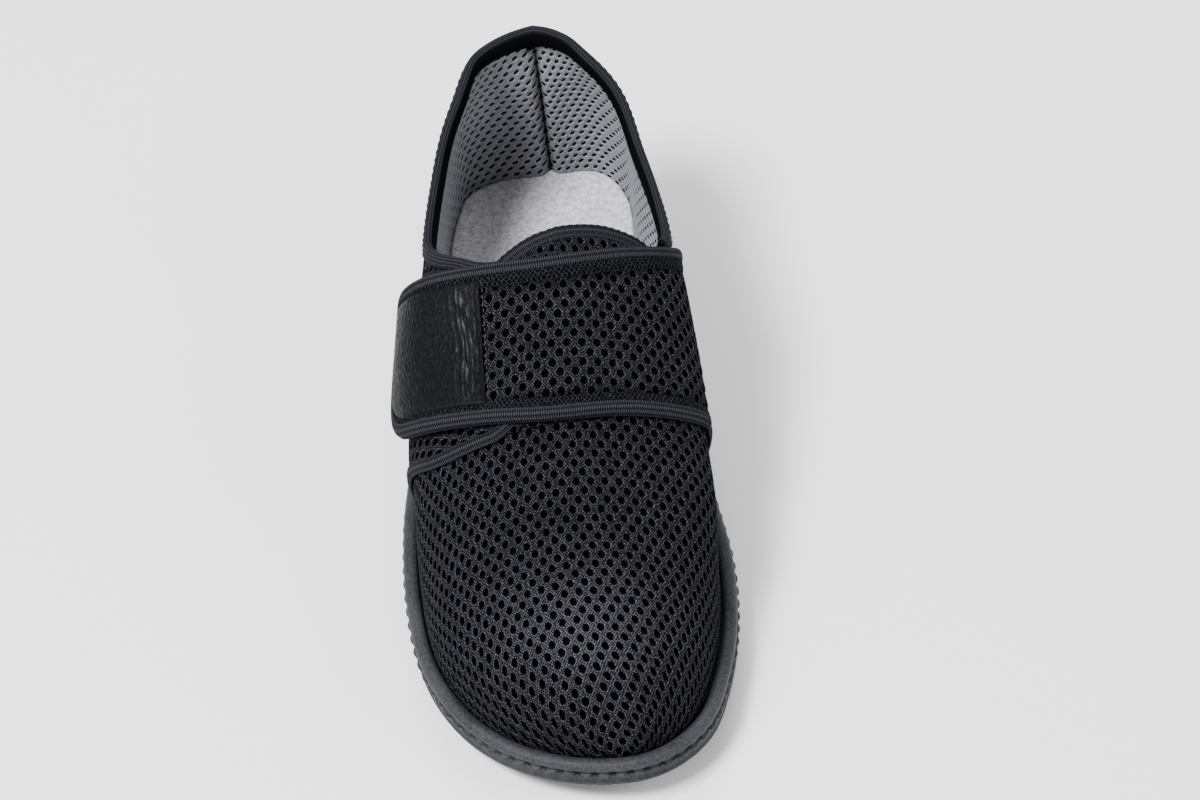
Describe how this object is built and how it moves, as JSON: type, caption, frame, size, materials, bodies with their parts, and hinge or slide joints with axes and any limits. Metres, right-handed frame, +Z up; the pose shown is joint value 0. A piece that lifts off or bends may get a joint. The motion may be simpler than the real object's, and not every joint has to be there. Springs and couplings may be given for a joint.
{
  "type": "orthopedic shoe",
  "caption": "Extra-wide low orthopedic shoe: hollow mesh upper with tongue and one broad wrap-over hook-and-loop strap, on a one-piece moulded sole.",
  "frame": {"origin": "on the floor, under the centre of the shoe's box", "axes": "+Z up, the toe towards -Y and the heel towards +Y, the inner (medial) side towards +X and the outer side with the strap's free end towards -X"},
  "size_m": [0.1116, 0.2864, 0.0995],
  "materials": {
    "sole": "satin moulded foam rubber",
    "upper": "matte air mesh",
    "insole": "felt",
    "tongue": "matte air mesh",
    "tongue_binding": "ribbed tape",
    "strap": "matte air mesh",
    "strap_patch": "grained synthetic leather",
    "strap_binding": "ribbed tape",
    "quarter_binding": "ribbed tape",
    "collar_binding": "smooth tape"
  },
  "bodies": {
    "root": {"sole": "sole", "upper": "upper", "insole": "insole", "tongue": "tongue", "tongue_binding": "tongue_binding", "strap": "strap", "strap_patch": "strap_patch", "strap_binding": "strap_binding", "quarter_binding": "quarter_binding", "collar_binding": "collar_binding"}
  },
  "joints": []
}
